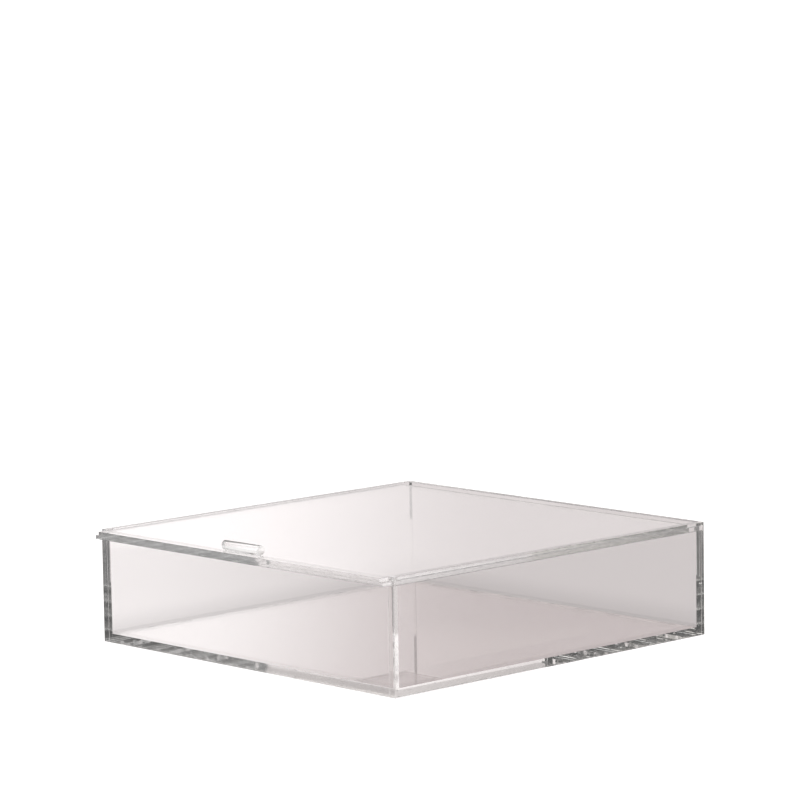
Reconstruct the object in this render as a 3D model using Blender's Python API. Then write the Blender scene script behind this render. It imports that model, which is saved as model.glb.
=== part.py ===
"""Clear square box of cemented sheet, with a sheet lid that slides in grooves in its side walls.

Metres, +Z up. The origin is the middle of the underside, and the side with the pull faces -Y.
The lid stands a little way forward of closed.
"""

import math

import bmesh
import bpy
from mathutils import Matrix, Vector

# Box
box_width = 0.220
box_depth = 0.220
box_height = 0.059
wall_sheet = 0.004
base_sheet = 0.004

# Lid, and the grooves it runs in
lid_sheet = 0.004
tongue_height = 0.002
groove_depth = 0.0023
cap_height = 0.002
lid_ajar = 0.0056

# Pull
pull_diameter = 0.005
pull_length = 0.027
pull_setback = 0.0065
pull_facets = 32

# Finish and clearances
edge_break = 0.0002
joint_gap = 0.0003
slide_gap = 0.0003

# Acrylic
acrylic_colour = (0.97, 0.965, 0.96, 1.0)
acrylic_roughness = 0.03
acrylic_metallic = 0.0
acrylic_ior = 1.49

# Places that several pieces share
outer_x = box_width / 2
outer_y = box_depth / 2
inner_x = outer_x - wall_sheet
inner_y = outer_y - wall_sheet
groove_x = inner_x + groove_depth
groove_top = box_height - cap_height
tongue_top = groove_top - slide_gap
lid_underside = tongue_top - tongue_height
lid_top = lid_underside + lid_sheet
groove_floor = lid_underside - slide_gap
lid_length = outer_y + inner_y - slide_gap
lid_front = -outer_y - lid_ajar
outer_planes = (
    ("x", -outer_x),
    ("x", outer_x),
    ("y", -outer_y),
    ("y", outer_y),
    ("z", 0),
    ("z", box_height),
)
same_place = edge_break / 10


def clear_scene():
    for thing in list(bpy.data.objects):
        bpy.data.objects.remove(thing, do_unlink=True)


def clear_acrylic(name):
    material = bpy.data.materials.new(name + "_acrylic")
    material.use_nodes = True
    shader = material.node_tree.nodes["Principled BSDF"]
    shader.inputs["Base Color"].default_value = acrylic_colour
    shader.inputs["Roughness"].default_value = acrylic_roughness
    shader.inputs["Metallic"].default_value = acrylic_metallic
    shader.inputs["IOR"].default_value = acrylic_ior
    shader.inputs["Transmission Weight"].default_value = 1
    return material


def add_piece(name, shape, origin):
    """Turns a closed bmesh into a named object with its own origin and its own material."""
    bmesh.ops.recalc_face_normals(shape, faces=shape.faces)
    bmesh.ops.translate(shape, verts=shape.verts, vec=-Vector(origin))
    mesh = bpy.data.meshes.new(name)
    shape.to_mesh(mesh)
    shape.free()
    mesh.materials.append(clear_acrylic(name))
    piece = bpy.data.objects.new(name, mesh)
    piece.location = origin
    bpy.context.scene.collection.objects.link(piece)
    return piece


def run_along_y(outline, front, back):
    """A prism: the outline of (x, z) points, run from front to back."""
    shape = bmesh.new()
    end = shape.faces.new([shape.verts.new((x, front, z)) for x, z in outline])
    run = bmesh.ops.extrude_face_region(shape, geom=[end])
    moved = [part for part in run["geom"] if isinstance(part, bmesh.types.BMVert)]
    bmesh.ops.translate(shape, verts=moved, vec=(0, back - front, 0))
    bmesh.ops.recalc_face_normals(shape, faces=shape.faces)
    return shape


def panel(half_width, front, back, height):
    """A plain sheet standing or lying on the box's underside."""
    outline = [(-half_width, 0), (half_width, 0), (half_width, height), (-half_width, height)]
    return run_along_y(outline, front, back)


def ease(shape, edges):
    bmesh.ops.bevel(shape, geom=edges, offset=edge_break, segments=1, affect="EDGES")


def lies_on(edge, plane):
    axis, place = plane
    return all(abs(getattr(corner.co, axis) - place) < same_place for corner in edge.verts)


def outside_edges(shape):
    """The edges where two of the box's outer planes meet. A cemented edge stays sharp."""
    return [edge for edge in shape.edges if sum(lies_on(edge, plane) for plane in outer_planes) == 2]


def base_panel():
    back = inner_y - joint_gap
    shape = panel(inner_x - joint_gap, -back, back, base_sheet)
    return add_piece("base_panel", shape, (0, 0, 0))


def end_wall(name, front, height):
    """The front or the back wall, which stands between the side walls."""
    shape = panel(inner_x - joint_gap, front, front + wall_sheet, height)
    ease(shape, outside_edges(shape))
    return add_piece(name, shape, (0, front, 0))


def side_wall(name, side):
    """A side wall over the full depth. Its cap is what stands above the groove."""
    outline = [
        (outer_x, 0),
        (inner_x, 0),
        (inner_x, groove_floor),
        (groove_x, groove_floor),
        (groove_x, groove_top),
        (inner_x, groove_top),
        (inner_x, box_height),
        (outer_x, box_height),
    ]
    shape = run_along_y([(side * x, z) for x, z in outline], -outer_y, outer_y)
    ease(shape, outside_edges(shape))
    return add_piece(name, shape, (side * inner_x, 0, 0))


def sliding_lid():
    """One sheet, its side edges cut back above so that the lower part runs in the grooves."""
    upper_x = inner_x - slide_gap
    tongue_x = groove_x - slide_gap
    half = [
        (tongue_x, lid_underside),
        (tongue_x, tongue_top),
        (upper_x, tongue_top),
        (upper_x, lid_top),
    ]
    outline = half + [(-x, z) for x, z in reversed(half)]
    shape = run_along_y(outline, lid_front, lid_front + lid_length)
    ease(shape, [edge for edge in shape.edges if edge.calc_face_angle_signed() > 0])
    return add_piece("sliding_lid", shape, (0, lid_front, lid_underside))


def lid_pull():
    """A round rod with flat ends, lying across the lid."""
    radius = pull_diameter / 2
    origin = Vector((0, lid_front + pull_setback, lid_top + joint_gap + radius))
    shape = bmesh.new()
    bmesh.ops.create_cone(
        shape,
        cap_ends=True,
        segments=pull_facets,
        radius1=radius,
        radius2=radius,
        depth=pull_length,
        matrix=Matrix.Translation(origin) @ Matrix.Rotation(math.radians(90), 4, "Y"),
    )
    ends = [face for face in shape.faces if len(face.verts) == pull_facets]
    ease(shape, [edge for face in ends for edge in face.edges])
    piece = add_piece("lid_pull", shape, origin)
    piece.data.shade_smooth()
    piece.data.set_sharp_from_angle(angle=math.radians(30))
    return piece


def hang_on_slide(pieces):
    """Parents the moving pieces to an empty that lies on the slide's axis."""
    slide = bpy.data.objects.new("lid_slide", None)
    slide.location = (0, lid_front, lid_underside)
    slide.empty_display_size = lid_sheet
    bpy.context.scene.collection.objects.link(slide)
    bpy.context.view_layer.update()
    for piece in pieces:
        piece.parent = slide
        piece.matrix_parent_inverse = slide.matrix_world.inverted()


clear_scene()
base_panel()
end_wall("front_wall", -outer_y, groove_floor)
end_wall("back_wall", inner_y, box_height)
side_wall("left_wall", -1)
side_wall("right_wall", 1)
hang_on_slide([sliding_lid(), lid_pull()])
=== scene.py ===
import math

import bmesh
import bpy
from mathutils import Matrix, Vector


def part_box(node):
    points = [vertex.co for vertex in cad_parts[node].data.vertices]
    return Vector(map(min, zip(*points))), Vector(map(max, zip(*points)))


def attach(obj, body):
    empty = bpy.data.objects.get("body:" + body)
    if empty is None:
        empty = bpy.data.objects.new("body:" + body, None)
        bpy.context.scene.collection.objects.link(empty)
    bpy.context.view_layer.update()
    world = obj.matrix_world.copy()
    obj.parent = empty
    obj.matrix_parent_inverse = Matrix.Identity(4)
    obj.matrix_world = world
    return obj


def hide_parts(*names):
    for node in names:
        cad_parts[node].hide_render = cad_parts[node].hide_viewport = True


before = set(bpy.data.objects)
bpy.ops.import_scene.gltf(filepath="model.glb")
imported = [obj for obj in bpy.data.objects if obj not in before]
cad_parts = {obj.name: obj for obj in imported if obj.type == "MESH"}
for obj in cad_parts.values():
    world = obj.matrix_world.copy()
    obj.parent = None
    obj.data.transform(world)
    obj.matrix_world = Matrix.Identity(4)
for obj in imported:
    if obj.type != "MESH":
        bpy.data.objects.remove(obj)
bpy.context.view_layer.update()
print("frame loaded:", len(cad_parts), "CAD nodes")

# What the sheets share. A glued joint keeps a hair's gap, so that its two faces are met in order
sheets = {
    "gluedGap": 0.00002,
    "gluedReach": 0.00003,  # a face this close to a joint's plane is cemented
    "bead": 0.0018,  # height of the cement that stands in the corner along the base
    "near": 0.00005,  # a corner this close to a plane is on it
    "easedEdge": 0.0002,
    "sharpFrom": 0.5,  # radians between two faces, from which their edge is eased
    "square": 0.9,  # least share of a face's normal along an axis that it is square to
    "runsAlong": 0.5,  # most share of it along an axis that the face runs along
    "upright": 0.1,  # most share of it along Z when the face stands upright
    # fitted, not measured: the bands of light along the cut edges move with these
    "leftThick": 0.003957,
    "rightThick": 0.0039,
    "frontThick": 0.00457,
    "backThick": 0.00395,
    "baseThick": 0.00413,
}
upwards = (0, 0, 1)
white = (1, 1, 1, 1)

# Planes of the case and the lid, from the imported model
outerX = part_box("right_wall")[1].x
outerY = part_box("right_wall")[1].y
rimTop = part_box("right_wall")[1].z
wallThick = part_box("left_wall")[1].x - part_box("left_wall")[0].x
leftInner = -outerX + sheets["leftThick"]
rightInner = outerX - sheets["rightThick"]
frontInner = -outerY + sheets["frontThick"]
backInner = outerY - sheets["backThick"]
baseTop = sheets["baseThick"]
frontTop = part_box("front_wall")[1].z
lidLow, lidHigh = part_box("sliding_lid")
pullLow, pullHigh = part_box("lid_pull")


def deselectAll():
    if bpy.context.mode != "OBJECT":
        bpy.ops.object.mode_set(mode="OBJECT")
    bpy.ops.object.select_all(action="DESELECT")


def makeActive(piece):
    deselectAll()
    piece.select_set(True)
    bpy.context.view_layer.objects.active = piece


def editAll(piece):
    # Opens the piece in edit mode with all of it selected
    makeActive(piece)
    bpy.ops.object.mode_set(mode="EDIT")
    bpy.ops.mesh.select_all(action="SELECT")


def settle(piece, name):
    # Names a new primitive and puts its place and size into its mesh
    piece.name = piece.data.name = name
    bpy.ops.object.transform_apply(location=True, rotation=True, scale=True)
    return piece


def startSheet(name, low, high):
    # A block at its size and place
    deselectAll()
    low, high = Vector(low), Vector(high)
    bpy.ops.mesh.primitive_cube_add(size=1, location=(low + high) / 2, scale=high - low)
    return settle(bpy.context.active_object, name)


def startProfile(name, width, height, middleX, front, middleZ):
    # A flat sheet standing across the box, to be cut to a profile and drawn out backwards
    deselectAll()
    bpy.ops.mesh.primitive_plane_add(
        size=1, location=(middleX, front, middleZ), rotation=(math.pi / 2, 0, 0)
    )
    piece = bpy.context.active_object
    piece.scale = (width, height, 1)
    return settle(piece, name)


def cutAcross(piece, places):
    # Cuts a line round the piece at each place on each axis
    editAll(piece)
    for axis, place in places:
        bpy.ops.mesh.select_all(action="SELECT")
        point, direction = Vector(), Vector()
        setattr(point, axis, place)
        setattr(direction, axis, 1)
        bpy.ops.mesh.bisect(plane_co=point, plane_no=direction)
    bpy.ops.object.mode_set(mode="OBJECT")


def chooseInEdit(piece, kind, test):
    # Selects the faces or edges that pass the test, and leaves the piece in edit mode
    makeActive(piece)
    bpy.ops.object.mode_set(mode="EDIT")
    bpy.ops.mesh.select_mode(type=kind)
    bpy.ops.mesh.select_all(action="DESELECT")
    shape = bmesh.from_edit_mesh(piece.data)
    for part in shape.faces if kind == "FACE" else shape.edges:
        if test(part):
            part.select_set(True)
    bmesh.update_edit_mesh(piece.data)


def dropFaces(piece, test):
    # Cuts the chosen cells out of a flat profile and cleans up the lines that are left
    chooseInEdit(piece, "FACE", lambda face: test(face.calc_center_median()))
    bpy.ops.mesh.delete(type="FACE")
    bpy.ops.mesh.select_all(action="SELECT")
    bpy.ops.mesh.dissolve_limited(angle_limit=0.01)
    bpy.ops.object.mode_set(mode="OBJECT")


def drawOut(piece, length):
    editAll(piece)
    bpy.ops.mesh.extrude_region_move(TRANSFORM_OT_translate={"value": (0, length, 0)})
    faceOutwards(piece)


def faceOutwards(piece):
    editAll(piece)
    bpy.ops.mesh.remove_doubles(threshold=0.000005)
    bpy.ops.mesh.normals_make_consistent(inside=False)
    bpy.ops.object.mode_set(mode="OBJECT")


def easeEdges(piece, width, test, steps=2):
    # Breaks the sharp edges that pass the test
    def isSharp(edge):
        return len(edge.link_faces) == 2 and edge.calc_face_angle(0) > sheets["sharpFrom"]

    chooseInEdit(piece, "EDGE", lambda edge: isSharp(edge) and test(edge))
    bpy.ops.mesh.bevel(offset=width, segments=steps, affect="EDGES")
    bpy.ops.object.mode_set(mode="OBJECT")


def allAt(edge, axis, place):
    # Both ends of the edge lie on the plane, or on its mirror image
    return all(
        abs(abs(getattr(corner.co, axis)) - place) < sheets["near"] for corner in edge.verts
    )


def normalShare(face, axis):
    return abs(getattr(face.normal, axis))


def squareTo(face, axis):
    return normalShare(face, axis) > sheets["square"]


def newTree(name):
    material = bpy.data.materials.new(name)
    material.use_nodes = True
    material.node_tree.nodes.clear()
    return material, material.node_tree


def addNode(tree, kind, inputs, **settings):
    # A node with its settings, and with its inputs set or linked by their names
    node = tree.nodes.new(kind)
    for key, value in settings.items():
        setattr(node, key, value)
    for key, value in inputs.items():
        if isinstance(value, bpy.types.NodeSocket):
            tree.links.new(value, node.inputs[key])
        else:
            node.inputs[key].default_value = value
    return node


def maths(tree, operation, first, second=0.0):
    return addNode(tree, "ShaderNodeMath", {0: first, 1: second}, operation=operation).outputs[0]


def product(tree, first, second):
    return maths(tree, "MULTIPLY", first, second)


def smoothRange(tree, value, low, high, toLow=0.0, toHigh=1.0):
    inputs = {"Value": value, "From Min": low, "From Max": high, "To Min": toLow, "To Max": toHigh}
    node = addNode(tree, "ShaderNodeMapRange", inputs, interpolation_type="SMOOTHSTEP")
    return node.outputs["Result"]


def mixColour(tree, factor, first, second, blend="MIX"):
    # The Mix node's socket names repeat, so they go by number
    inputs = {0: factor, 6: first, 7: second}
    return addNode(tree, "ShaderNodeMix", inputs, data_type="RGBA", blend_type=blend).outputs[2]


def mixShaders(tree, factor, first, second):
    return addNode(tree, "ShaderNodeMixShader", {0: factor, 1: first, 2: second}).outputs[0]


def addShaders(tree, first, second):
    return addNode(tree, "ShaderNodeAddShader", {0: first, 1: second}).outputs[0]


def dotWith(tree, vector, direction):
    inputs = {0: vector, 1: direction}
    return addNode(tree, "ShaderNodeVectorMath", inputs, operation="DOT_PRODUCT").outputs["Value"]


def objectPlace(tree):
    return tree.nodes.new("ShaderNodeTexCoord").outputs["Object"]


def noiseOn(tree, marks, detail=2.0, away=(0, 0, 0)):
    # Noise on Object coordinates, with so many marks to the metre along X, Y and Z
    inputs = {"Vector": objectPlace(tree), "Scale": marks, "Location": away}
    mapped = addNode(tree, "ShaderNodeMapping", inputs).outputs["Vector"]
    inputs = {"Vector": mapped, "Scale": 1.0, "Detail": detail}
    return addNode(tree, "ShaderNodeTexNoise", inputs).outputs["Fac"]


def finishMaterial(tree, shader):
    addNode(tree, "ShaderNodeOutputMaterial", {"Surface": shader})


# Clear cast acrylic. Marks are counted to the metre along X, Y and Z, and heights are in metres
acrylic = {
    "ior": 1.49,
    "tints": ((0.975, 0.972, 0.970), (0.992, 0.990, 0.988)),
    "grainDetail": 3,
    # broad clouds, in which a face changes from its first tint and roughness to its second
    "cloudMarks": 0.3,  # to each mark of the grain
    "cloudAway": (3.1, 1.7, 5.3),
    "cloudFrom": (0.35, 0.7),
}
finishes = {
    # pressed against glass in the mould: nearly optical, with a long faint swell
    "wall_polished_face": {"rough": (0.0, 0.012), "marks": (14, 14, 14), "height": 1.5e-6},
    "base_polished_face": {"rough": (0.0, 0.012), "marks": (11, 11, 11), "height": 1.5e-6},
    # fine hairlines along Y, from sliding
    "lid_polished_face": {"rough": (0.0, 0.014), "marks": (160, 5, 20), "height": 0.3e-6},
    # flame polished, with a faint ripple across the sheet
    "wall_flamed_edge": {"rough": (0.03, 0.08), "marks": (260, 260, 260), "height": 1e-6},
    "lid_flamed_edge": {
        "rough": (0.05, 0.10),
        "marks": (420, 420, 60),
        "height": 0.4e-6,
        "dim": 0.95,
    },
    # straight off the saw, with fine upright teeth marks
    "base_sawn_edge": {
        "rough": (0.05, 0.13),
        "marks": (500, 500, 250),
        "height": 10e-6,
        "dim": 0.91,
    },
    # cement that has set in the corner along the base
    "cement_bead": {
        "rough": (0.02, 0.10),
        "marks": (160, 160, 500),
        "height": 4e-6,
        "dim": 0.86,
    },
    # milled, with cutter marks across the run of the groove
    "groove_milled_face": {"rough": (0.10, 0.22), "marks": (60, 1100, 60), "height": 6e-6},
}


def bumped(tree, grain, height):
    inputs = {"Strength": 1.0, "Distance": height, "Height": grain}
    return addNode(tree, "ShaderNodeBump", inputs).outputs["Normal"]


def clearPlastic(tree, colour, rough, **more):
    inputs = {
        "Base Color": colour,
        "Roughness": rough,
        "IOR": acrylic["ior"],
        "Transmission Weight": 1.0,
        **more,
    }
    return addNode(tree, "ShaderNodeBsdfPrincipled", inputs).outputs["BSDF"]


def tintOf(which, dim=1):
    return (*(part * dim for part in acrylic["tints"][which]), 1)


def clearFinish(name, look):
    material, tree = newTree(name)
    grain = noiseOn(tree, look["marks"], acrylic["grainDetail"])
    broad = [count * acrylic["cloudMarks"] for count in look["marks"]]
    cloud = noiseOn(tree, broad, away=acrylic["cloudAway"])
    dim = look.get("dim", 1)
    colour = mixColour(tree, cloud, tintOf(0, dim), tintOf(1, dim))
    rough = smoothRange(tree, cloud, *acrylic["cloudFrom"], *look["rough"])
    shader = clearPlastic(tree, colour, rough, Normal=bumped(tree, grain, look["height"]))
    finishMaterial(tree, shader)
    return material


# Solvent cement between two sheets. Where it has not run in, a thin pocket of air is left
cement = {
    "tint": (0.985, 0.984, 0.982, 1),
    "marks": (120, 120, 500),
    "away": (0.4, 0.9, 0.2),
    "pocketRim": 0.02,
    "pocketRough": 0.06,
    # how high the noise must be for a pocket. A joint that is dry in part also has an axis, and
    # where on it the cement has run in to its end and where the joint is dry
    "joints": {
        "wall_cement": (0.72,),
        "base_cement": (0.60,),
        "front_joint_cement": (0.52, "X", 0.038, 0.034),
        "back_corner_cement": (0.90, "Z", 0.034, 0.037),
    },
}


def cementJoint(name, pocketFrom, axis=None, cemented=0.0, dry=0.0):
    material, tree = newTree(name)
    noise = noiseOn(tree, cement["marks"], away=cement["away"])
    pocket = smoothRange(tree, noise, pocketFrom, pocketFrom + cement["pocketRim"])
    if axis:
        along = addNode(tree, "ShaderNodeSeparateXYZ", {"Vector": objectPlace(tree)}).outputs[axis]
        pocket = maths(tree, "MAXIMUM", pocket, smoothRange(tree, along, cemented, dry))
    glue = addNode(tree, "ShaderNodeBsdfTransparent", {"Color": cement["tint"]}).outputs["BSDF"]
    air = clearPlastic(tree, tintOf(1), cement["pocketRough"])
    finishMaterial(tree, mixShaders(tree, pocket, glue, air))
    return material


materials = {name: clearFinish(name, look) for name, look in finishes.items()}
for jointName, joint in cement["joints"].items():
    materials[jointName] = cementJoint(jointName, *joint)
print("sheet finishes made:", len(materials))


def onBead(face):
    isUpright = normalShare(face, "z") < sheets["upright"]
    return isUpright and baseTop < face.center.z < baseTop + sheets["bead"]


def gluedTo(face):
    # The cement between two sheets of the case, or None on a free face
    x, y, z = face.center
    reach = sheets["gluedReach"]
    if squareTo(face, "x") and min(abs(x - leftInner), abs(x - rightInner)) < reach:
        if not frontInner < y < backInner and (z < frontTop or z > groove["top"]):
            return "back_corner_cement" if x < 0 < y else "wall_cement"
        return "base_cement" if z < baseTop else None
    if squareTo(face, "y") and z < baseTop and leftInner < x < rightInner:
        if abs(y - frontInner) < reach:
            return "front_joint_cement"
        return "base_cement" if abs(y - backInner) < reach else None
    return None


def dress(piece, node, body, finishOf):
    # Gives each face its finish, hides the CAD node that the piece stands in for, and hands the
    # piece
    #  to its body
    used = []
    for face in piece.data.polygons:
        name = (gluedTo(face) if body == "case" else None) or finishOf(face)
        if name not in used:
            used.append(name)
            piece.data.materials.append(materials[name])
        face.material_index = used.index(name)
    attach(piece, body)
    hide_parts(node)


base = {
    "easedEdge": 0.0001,
    "easedSteps": 1,
}


def makeBase():
    gap = sheets["gluedGap"]
    low = (leftInner + gap, frontInner + gap, 0)
    high = (rightInner - gap, backInner - gap, baseTop)
    piece = startSheet("base_sheet", low, high)
    easeEdges(piece, base["easedEdge"], lambda edge: allAt(edge, "z", 0), base["easedSteps"])
    dress(
        piece,
        "base_panel",
        "case",
        lambda face: "base_polished_face" if squareTo(face, "z") else "base_sawn_edge",
    )


# Along each side wall runs a groove for the lid's tongue
groove = {
    "floor": frontTop,
    "top": 0.057,
    "depth": 0.0023,
}


def endWallFinish(face):
    if onBead(face) and abs(face.center.y) < outerY - sheets["near"]:
        return "cement_bead"
    return "wall_polished_face" if squareTo(face, "y") else "wall_flamed_edge"


def makeEndWall(name, node, front, back, height):
    gap = sheets["gluedGap"]
    piece = startSheet(name, (leftInner + gap, front, 0), (rightInner - gap, back, height))
    levels = [baseTop, baseTop + sheets["bead"]]
    if height > groove["top"]:
        levels += [groove["floor"], groove["top"]]
    cutAcross(piece, [("z", level) for level in levels])
    easeEdges(
        piece,
        sheets["easedEdge"],
        lambda edge: allAt(edge, "y", outerY) or allAt(edge, "z", height),
    )
    faceOutwards(piece)
    dress(piece, node, "case", endWallFinish)


def sideWallFinish(face):
    slack = sheets["near"]
    if abs(face.center.x) < outerX - slack and normalShare(face, "y") < sheets["runsAlong"]:
        if groove["floor"] - slack < face.center.z < groove["top"] + slack:
            return "groove_milled_face"
        if onBead(face):
            return "cement_bead"
    return "wall_polished_face" if squareTo(face, "x") else "wall_flamed_edge"


def makeSideWall(name, node, side, thick):
    inner = side * (outerX - thick)
    grooveX = side * (outerX - wallThick + groove["depth"])
    middleX = (inner + side * outerX) / 2
    piece = startProfile(name, thick, rimTop, middleX, -outerY, rimTop / 2)
    cutAcross(piece, [("z", groove["floor"]), ("z", groove["top"]), ("x", grooveX)])
    dropFaces(
        piece,
        lambda middle: groove["floor"] < middle.z < groove["top"] and abs(middle.x) < abs(grooveX),
    )
    drawOut(piece, 2 * outerY)
    easeEdges(
        piece,
        sheets["easedEdge"],
        lambda edge: allAt(edge, "y", outerY)
        or allAt(edge, "z", rimTop)
        or (allAt(edge, "z", 0) and allAt(edge, "x", outerX)),
    )
    levels = [("z", baseTop), ("z", baseTop + sheets["bead"])]
    cutAcross(piece, levels + [("y", frontInner), ("y", backInner)])
    dress(piece, node, "case", sideWallFinish)


# The lid's sides are cut back above, so that a thin tongue runs in the grooves
lid = {
    "tongueHigh": 0.002,
    "runningGap": 0.0003,
    "easedEdge": 0.00015,
}


def makeLid():
    upperHalf = outerX - wallThick - lid["runningGap"]
    tongueTop = lidLow.z + lid["tongueHigh"]
    size = lidHigh - lidLow
    piece = startProfile("lid_sheet", size.x, size.z, 0, lidLow.y, (lidLow.z + lidHigh.z) / 2)
    cutAcross(piece, [("z", tongueTop), ("x", -upperHalf), ("x", upperHalf)])
    dropFaces(piece, lambda middle: middle.z > tongueTop and abs(middle.x) > upperHalf)
    drawOut(piece, size.y)
    easeEdges(piece, lid["easedEdge"], lambda edge: edge.calc_face_angle_signed() > 0)
    dress(
        piece,
        "sliding_lid",
        "lid",
        lambda face: "lid_polished_face" if squareTo(face, "z") else "lid_flamed_edge",
    )


pull = {
    "sides": 96,
    "easedRim": 0.0003,
    "easedSteps": 4,
    "smoothUpTo": 40,  # degrees between two faces
    "drawLines": (4, 900, 900),
    "sawRings": 1400,
    "ringDistortion": 1.5,
    "grainFrom": (0.3, 0.7),
    "side": {"rough": (0.0, 0.02), "height": 0.4e-6},
    "end": {"rough": (0.30, 0.45), "height": 3e-6},
    # painted shade on the rod's rim: plain grey is mixed in where it is seen at a grazing angle,
    # more along the top than below
    "grazeBlend": 0.5,
    "rimFrom": (0.47, 0.58),
    "rimTo": (0.80, 0.88),
    "paintedRimShade": (0.27, 0.265, 0.26, 1),
    "rimShare": (0.30, 0.95),
    "topFrom": (-0.2, 0.4),
}


def rodPlastic(tree, grain, look):
    rough = smoothRange(tree, grain, *pull["grainFrom"], *look["rough"])
    return clearPlastic(tree, white, rough, Normal=bumped(tree, grain, look["height"]))


def sawnEndFinish(name):
    # The saw leaves rings on the rod's ends
    material, tree = newTree(name)
    inputs = {0: objectPlace(tree), 1: (pullLow + pullHigh) / 2}
    centred = addNode(tree, "ShaderNodeVectorMath", inputs, operation="SUBTRACT").outputs["Vector"]
    inputs = {"Vector": centred, "Scale": pull["sawRings"], "Distortion": pull["ringDistortion"]}
    wave = addNode(tree, "ShaderNodeTexWave", inputs, wave_type="RINGS", rings_direction="X")
    finishMaterial(tree, rodPlastic(tree, wave.outputs["Fac"], pull["end"]))
    return material


def drawnSideWithPaintedRimShade(name):
    # Drawn lines run along the rod. Outside, plain grey is mixed in as painted shade where it is
    # seen
    #  at a grazing angle, but not where it is seen end on
    material, tree = newTree(name)
    grain = noiseOn(tree, pull["drawLines"], acrylic["grainDetail"])
    clear = rodPlastic(tree, grain, pull["side"])
    graze = addNode(tree, "ShaderNodeLayerWeight", {"Blend": pull["grazeBlend"]}).outputs["Facing"]
    upShare = dotWith(tree, tree.nodes.new("ShaderNodeTexCoord").outputs["Normal"], upwards)
    share = smoothRange(tree, upShare, *pull["topFrom"], *pull["rimShare"])
    inside = tree.nodes.new("ShaderNodeNewGeometry").outputs["Backfacing"]
    rim = smoothRange(tree, graze, *pull["rimFrom"])
    rim = product(tree, rim, smoothRange(tree, graze, *pull["rimTo"], 1.0, 0.0))
    rim = product(tree, rim, maths(tree, "SUBTRACT", share, inside))
    # painted shade: a plain grey diffuse mixed into the clear plastic along the rim
    paintedShade = addNode(tree, "ShaderNodeBsdfDiffuse", {"Color": pull["paintedRimShade"]}).outputs["BSDF"]
    finishMaterial(tree, mixShaders(tree, rim, clear, paintedShade))
    return material


def makePull():
    deselectAll()
    radius = (pullHigh.z - pullLow.z) / 2
    centre = (pullLow + pullHigh) / 2
    centre.z = lidHigh.z + radius + sheets["gluedGap"]
    bpy.ops.mesh.primitive_cylinder_add(
        vertices=pull["sides"],
        radius=radius,
        depth=pullHigh.x - pullLow.x,
        location=centre,
        rotation=(0, math.pi / 2, 0),
    )
    piece = settle(bpy.context.active_object, "pull_rod")
    easeEdges(
        piece, pull["easedRim"], lambda edge: allAt(edge, "x", pullHigh.x), pull["easedSteps"]
    )
    makeActive(piece)
    bpy.ops.object.shade_smooth_by_angle(angle=math.radians(pull["smoothUpTo"]))
    piece.data.materials.append(drawnSideWithPaintedRimShade("rod_drawn_side_painted_rim_shade"))
    piece.data.materials.append(sawnEndFinish("rod_sawn_end"))
    for face in piece.data.polygons:
        face.material_index = int(squareTo(face, "x"))
    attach(piece, "lid")
    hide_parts("lid_pull")


makeBase()
makeEndWall("front_sheet", "front_wall", -outerY, frontInner, frontTop)
makeEndWall("back_sheet", "back_wall", backInner, outerY, rimTop)
makeSideWall("left_sheet", "left_wall", -1, sheets["leftThick"])
makeSideWall("right_sheet", "right_wall", 1, sheets["rightThick"])
makeLid()
makePull()
print("sheets and pull made")

# The studio's right and its far side, as the camera sees them, flat on the floor
studio = {
    "right": (0.6846, 0.7289, 0),
    "forward": (-0.7289, 0.6846, 0),
    "open": (0.92, 0.91, 0.90, 1),  # the room's level all round
    "above": (1.1, 1.1, 1.1, 1),
    "aboveFrom": (0.4, 0.8),  # height of the direction where the room gives way to the light above
    # how often light is turned back on its way is a whole number, so a limit lies half way
    "halfTurn": 0.5,
}

# Paper behind the box, glowing with painted light. One tone on the left gives way to a darker one
#  on the right, between two distances to the right of the middle
paper = {
    "away": 0.7,
    "long": 1.6,
    "high": 0.5,
    "turns": 1,  # found only by light that has been turned back this often
    "left": (1.2, 1.15, 1.15, 1),
    "right": (0.8, 0.75, 0.75, 1),
    "from": (-0.15, 0.1),
}

# Black flags standing on the floor left and right of the box. Their dark is painted shade that
# gives
#  the sheets' edges their dark bands. A flag is dark below and glows pale above, painted light
flags = {
    "left": {"at": -0.45, "pale": (1.1, 1.05, 1.0, 1)},
    "right": {"at": 0.60, "pale": (0.4, 0.4, 0.4, 1)},
}
flagSize = {
    "long": 0.8,
    "high": 0.45,
    "turns": 2,
    "dark": (0.1, 0.1, 0.1, 1),
    "fadeUp": (0.106, 0.130),  # heights between which the dark gives way to the pale
}

# Distances are metres from the middle
floor = {
    "size": 30,
    "below": 0.0002,
    "paint": (0.9, 0.895, 0.885, 1),
    "paintGlow": 0.3,
    "satin": (0.58, 0.568, 0.565, 1),
    "satinRough": 0.12,
    "contactShade": (0.8, 1.0),
    "contactReach": 0.075,
    "footBlur": 0.01,
    # the light on the floor beside and behind the box, under it, and where the sheets mirror it
    "beside": {"left": (1.1, 1.05, 1.05, 1), "right": (0.75, 0.7, 0.7, 1), "from": (-0.18, 0.04)},
    "under": {"left": (1.2, 1.15, 1.15, 1), "right": (0.5, 0.4, 0.4, 1), "from": (-0.14, 0.02)},
    "mirrored": (0.1, 0.1, 0.1, 1),
}


def sideToSide(tree, across, tones):
    toRight = smoothRange(tree, across, *tones["from"])
    return mixColour(tree, toRight, tones["left"], tones["right"])


def glow(tree, colour, strength=1.0):
    return addNode(tree, "ShaderNodeEmission", {"Color": colour, "Strength": strength}).outputs[0]


def greyOf(tree, value):
    return addNode(tree, "ShaderNodeCombineColor", {0: value, 1: value, 2: value}).outputs["Color"]


def shaded(tree, colour, value):
    return mixColour(tree, 1.0, colour, greyOf(tree, value), "MULTIPLY")


def cover(thing, material):
    # The studio's things give light to what sees them, and aren't sampled as lamps
    material.cycles.emission_sampling = "NONE"
    thing.data.materials.append(material)


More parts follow.
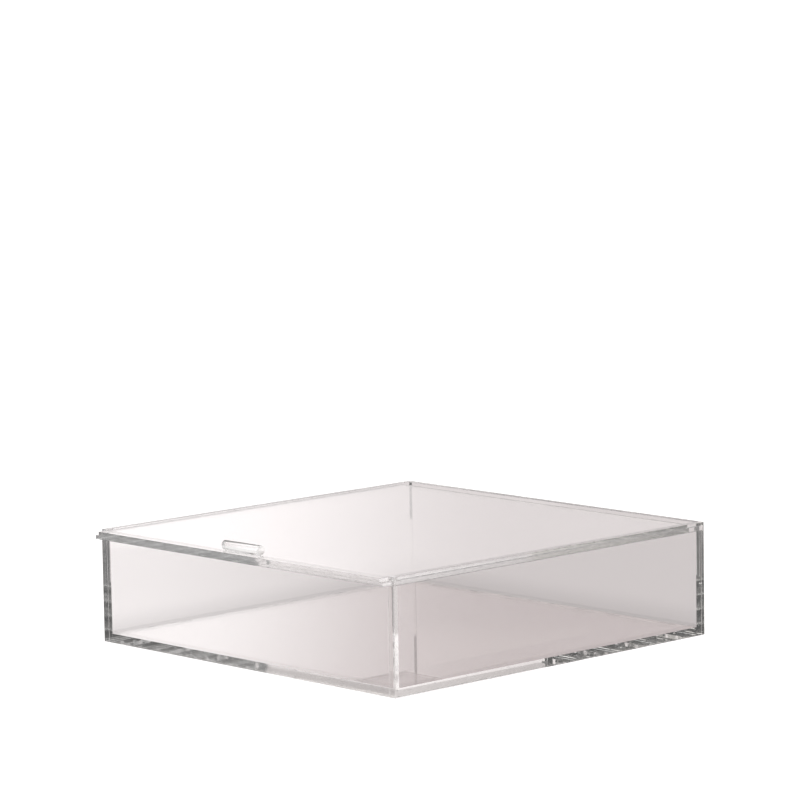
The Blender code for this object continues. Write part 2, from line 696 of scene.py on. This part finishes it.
def makeCard(name, materialName, centre, across, size, turns, paint):
    # A flat card that stands on the floor and faces the box. Its light is only for rays that have
    # been turned back at least so many times, and all others pass through it
    deselectAll()
    bpy.ops.mesh.primitive_plane_add(size=1)
    card = bpy.context.active_object
    card.name = name
    across, up = Vector(across), Vector(upwards)
    turn = Matrix((across, up, across.cross(up))).transposed().to_4x4()
    stretch = Matrix.Diagonal((size["long"], size["high"], 1, 1))
    place = Matrix.Translation(Vector(centre) + up * size["high"] / 2)
    card.data.transform(place @ turn @ stretch)
    material, tree = newTree(materialName)
    light = glow(tree, paint(tree, objectPlace(tree)))
    clear = tree.nodes.new("ShaderNodeBsdfTransparent").outputs["BSDF"]
    path = tree.nodes.new("ShaderNodeLightPath").outputs
    missed = maths(tree, "LESS_THAN", path["Glossy Depth"], turns - studio["halfTurn"])
    missed = maths(tree, "MAXIMUM", path["Is Diffuse Ray"], missed)
    finishMaterial(tree, mixShaders(tree, missed, light, clear))
    cover(card, material)


def makePaper():
    centre = Vector(studio["forward"]) * paper["away"]

    def paint(tree, place):
        return sideToSide(tree, dotWith(tree, place, studio["right"]), paper)

    makeCard("studio_paper", "paper_painted_light", centre, studio["right"], paper, paper["turns"], paint)


def makeFlag(side):
    flag = flags[side]
    centre = Vector(studio["right"]) * flag["at"]

    def paint(tree, place):
        toPale = smoothRange(tree, dotWith(tree, place, upwards), *flagSize["fadeUp"])
        return mixColour(tree, toPale, flagSize["dark"], flag["pale"])

    makeCard(
        "studio_flag_" + side,
        "painted_shade_flag_" + side,
        centre,
        studio["forward"],
        flagSize,
        flagSize["turns"],
        paint,
    )


def paintedLightSeenThrough(tree, place, across):
    # The floor's painted light and shade beside the box and under it, with a painted shadow near
    # the
    #  box's foot, as they are seen straight through the sheets. The floor glows with them, though
    #  it is no lamp
    flat = addNode(tree, "ShaderNodeSeparateXYZ", {"Vector": place}).outputs
    away = maths(tree, "MAXIMUM", *(maths(tree, "ABSOLUTE", flat[axis]) for axis in "XY"))
    reach = outerX + floor["contactReach"]
    contact = smoothRange(tree, away, outerX, reach, *floor["contactShade"])
    beside = shaded(tree, sideToSide(tree, across, floor["beside"]), contact)
    under = sideToSide(tree, across, floor["under"])
    edge = smoothRange(tree, away, outerX - wallThick, outerX + floor["footBlur"])
    return glow(tree, mixColour(tree, edge, under, beside))


def foundByMirrors(tree):
    # A satin shine, and a dim painted glow on the floor, which the sheets guide to their edges
    inputs = {"Color": floor["satin"], "Roughness": floor["satinRough"]}
    satin = addNode(tree, "ShaderNodeBsdfGlossy", inputs).outputs["BSDF"]
    return addShaders(tree, satin, glow(tree, floor["mirrored"]))


def makeFloor():
    deselectAll()
    bpy.ops.mesh.primitive_plane_add(size=floor["size"], location=(0, 0, -floor["below"]))
    plane = bpy.context.active_object
    plane.name = "studio_floor"
    material, tree = newTree("pale_floor")
    place = objectPlace(tree)
    across = dotWith(tree, place, studio["right"])
    paint = addNode(tree, "ShaderNodeBsdfDiffuse", {"Color": floor["paint"]}).outputs["BSDF"]
    shown = addShaders(tree, paint, glow(tree, white, floor["paintGlow"]))
    path = tree.nodes.new("ShaderNodeLightPath").outputs
    unturned = maths(tree, "LESS_THAN", path["Glossy Depth"], studio["halfTurn"])
    straight = product(tree, path["Is Transmission Ray"], unturned)
    mirrored = foundByMirrors(tree)
    surface = mixShaders(tree, straight, mirrored, paintedLightSeenThrough(tree, place, across))
    finishMaterial(tree, mixShaders(tree, path["Is Camera Ray"], surface, shown))
    cover(plane, material)


def makeWorld():
    world = bpy.data.worlds.new("studio_light")
    bpy.context.scene.world = world
    world.use_nodes = True
    tree = world.node_tree
    tree.nodes.clear()
    way = tree.nodes.new("ShaderNodeTexCoord").outputs["Generated"]
    lift = smoothRange(tree, dotWith(tree, way, upwards), *studio["aboveFrom"])
    level = mixColour(tree, lift, studio["open"], studio["above"])
    seenByCamera = tree.nodes.new("ShaderNodeLightPath").outputs["Is Camera Ray"]
    shown = mixColour(tree, seenByCamera, level, white)
    background = addNode(tree, "ShaderNodeBackground", {"Color": shown})
    addNode(tree, "ShaderNodeOutputWorld", {"Surface": background.outputs["Background"]})


# Degrees, metres, and millimetres for the lens
cameraPlace = {
    "azimuth": 46.66,
    "elevation": 7.356,
    "roll": -0.950,
    "distance": 2.0644,
    "slideRight": -0.002036,
    "slideUp": 0.123235,
    "lens": 179.25,
    "sensor": 36,
    "clip": (0.05, 50),
}


def makeCamera():
    turns = ("azimuth", "elevation", "roll")
    azimuth, elevation, roll = (math.radians(cameraPlace[turn]) for turn in turns)
    right = Vector((math.cos(azimuth), math.sin(azimuth), 0))
    back = Vector((0, 0, math.sin(elevation)))
    back += Vector((right.y, -right.x, 0)) * math.cos(elevation)
    up = back.cross(right)
    cameraX = math.cos(roll) * right + math.sin(roll) * up
    cameraY = -math.sin(roll) * right + math.cos(roll) * up
    place = back * cameraPlace["distance"]
    place += cameraX * cameraPlace["slideRight"] + cameraY * cameraPlace["slideUp"]
    data = bpy.data.cameras.new("photo_camera")
    data.lens = cameraPlace["lens"]
    data.sensor_width = cameraPlace["sensor"]
    data.clip_start, data.clip_end = cameraPlace["clip"]
    camera = bpy.data.objects.new("photo_camera", data)
    bpy.context.scene.collection.objects.link(camera)
    turn = Matrix((cameraX, cameraY, back)).transposed().to_4x4()
    camera.matrix_world = Matrix.Translation(place) @ turn
    bpy.context.scene.camera = camera


makeFloor()
makePaper()
makeFlag("left")
makeFlag("right")
makeWorld()
makeCamera()

# Light runs the length of the sheets by bouncing between their faces, so the limits are high
lightLimits = {
    "max_bounces": 64,
    "glossy_bounces": 64,
    "transmission_bounces": 64,
    "transparent_max_bounces": 64,
    "diffuse_bounces": 3,
    "blur_glossy": 0,
}
scene = bpy.context.scene
scene.view_settings.view_transform = "Standard"
for limit, most in lightLimits.items():
    setattr(scene.cycles, limit, most)
print("studio made")
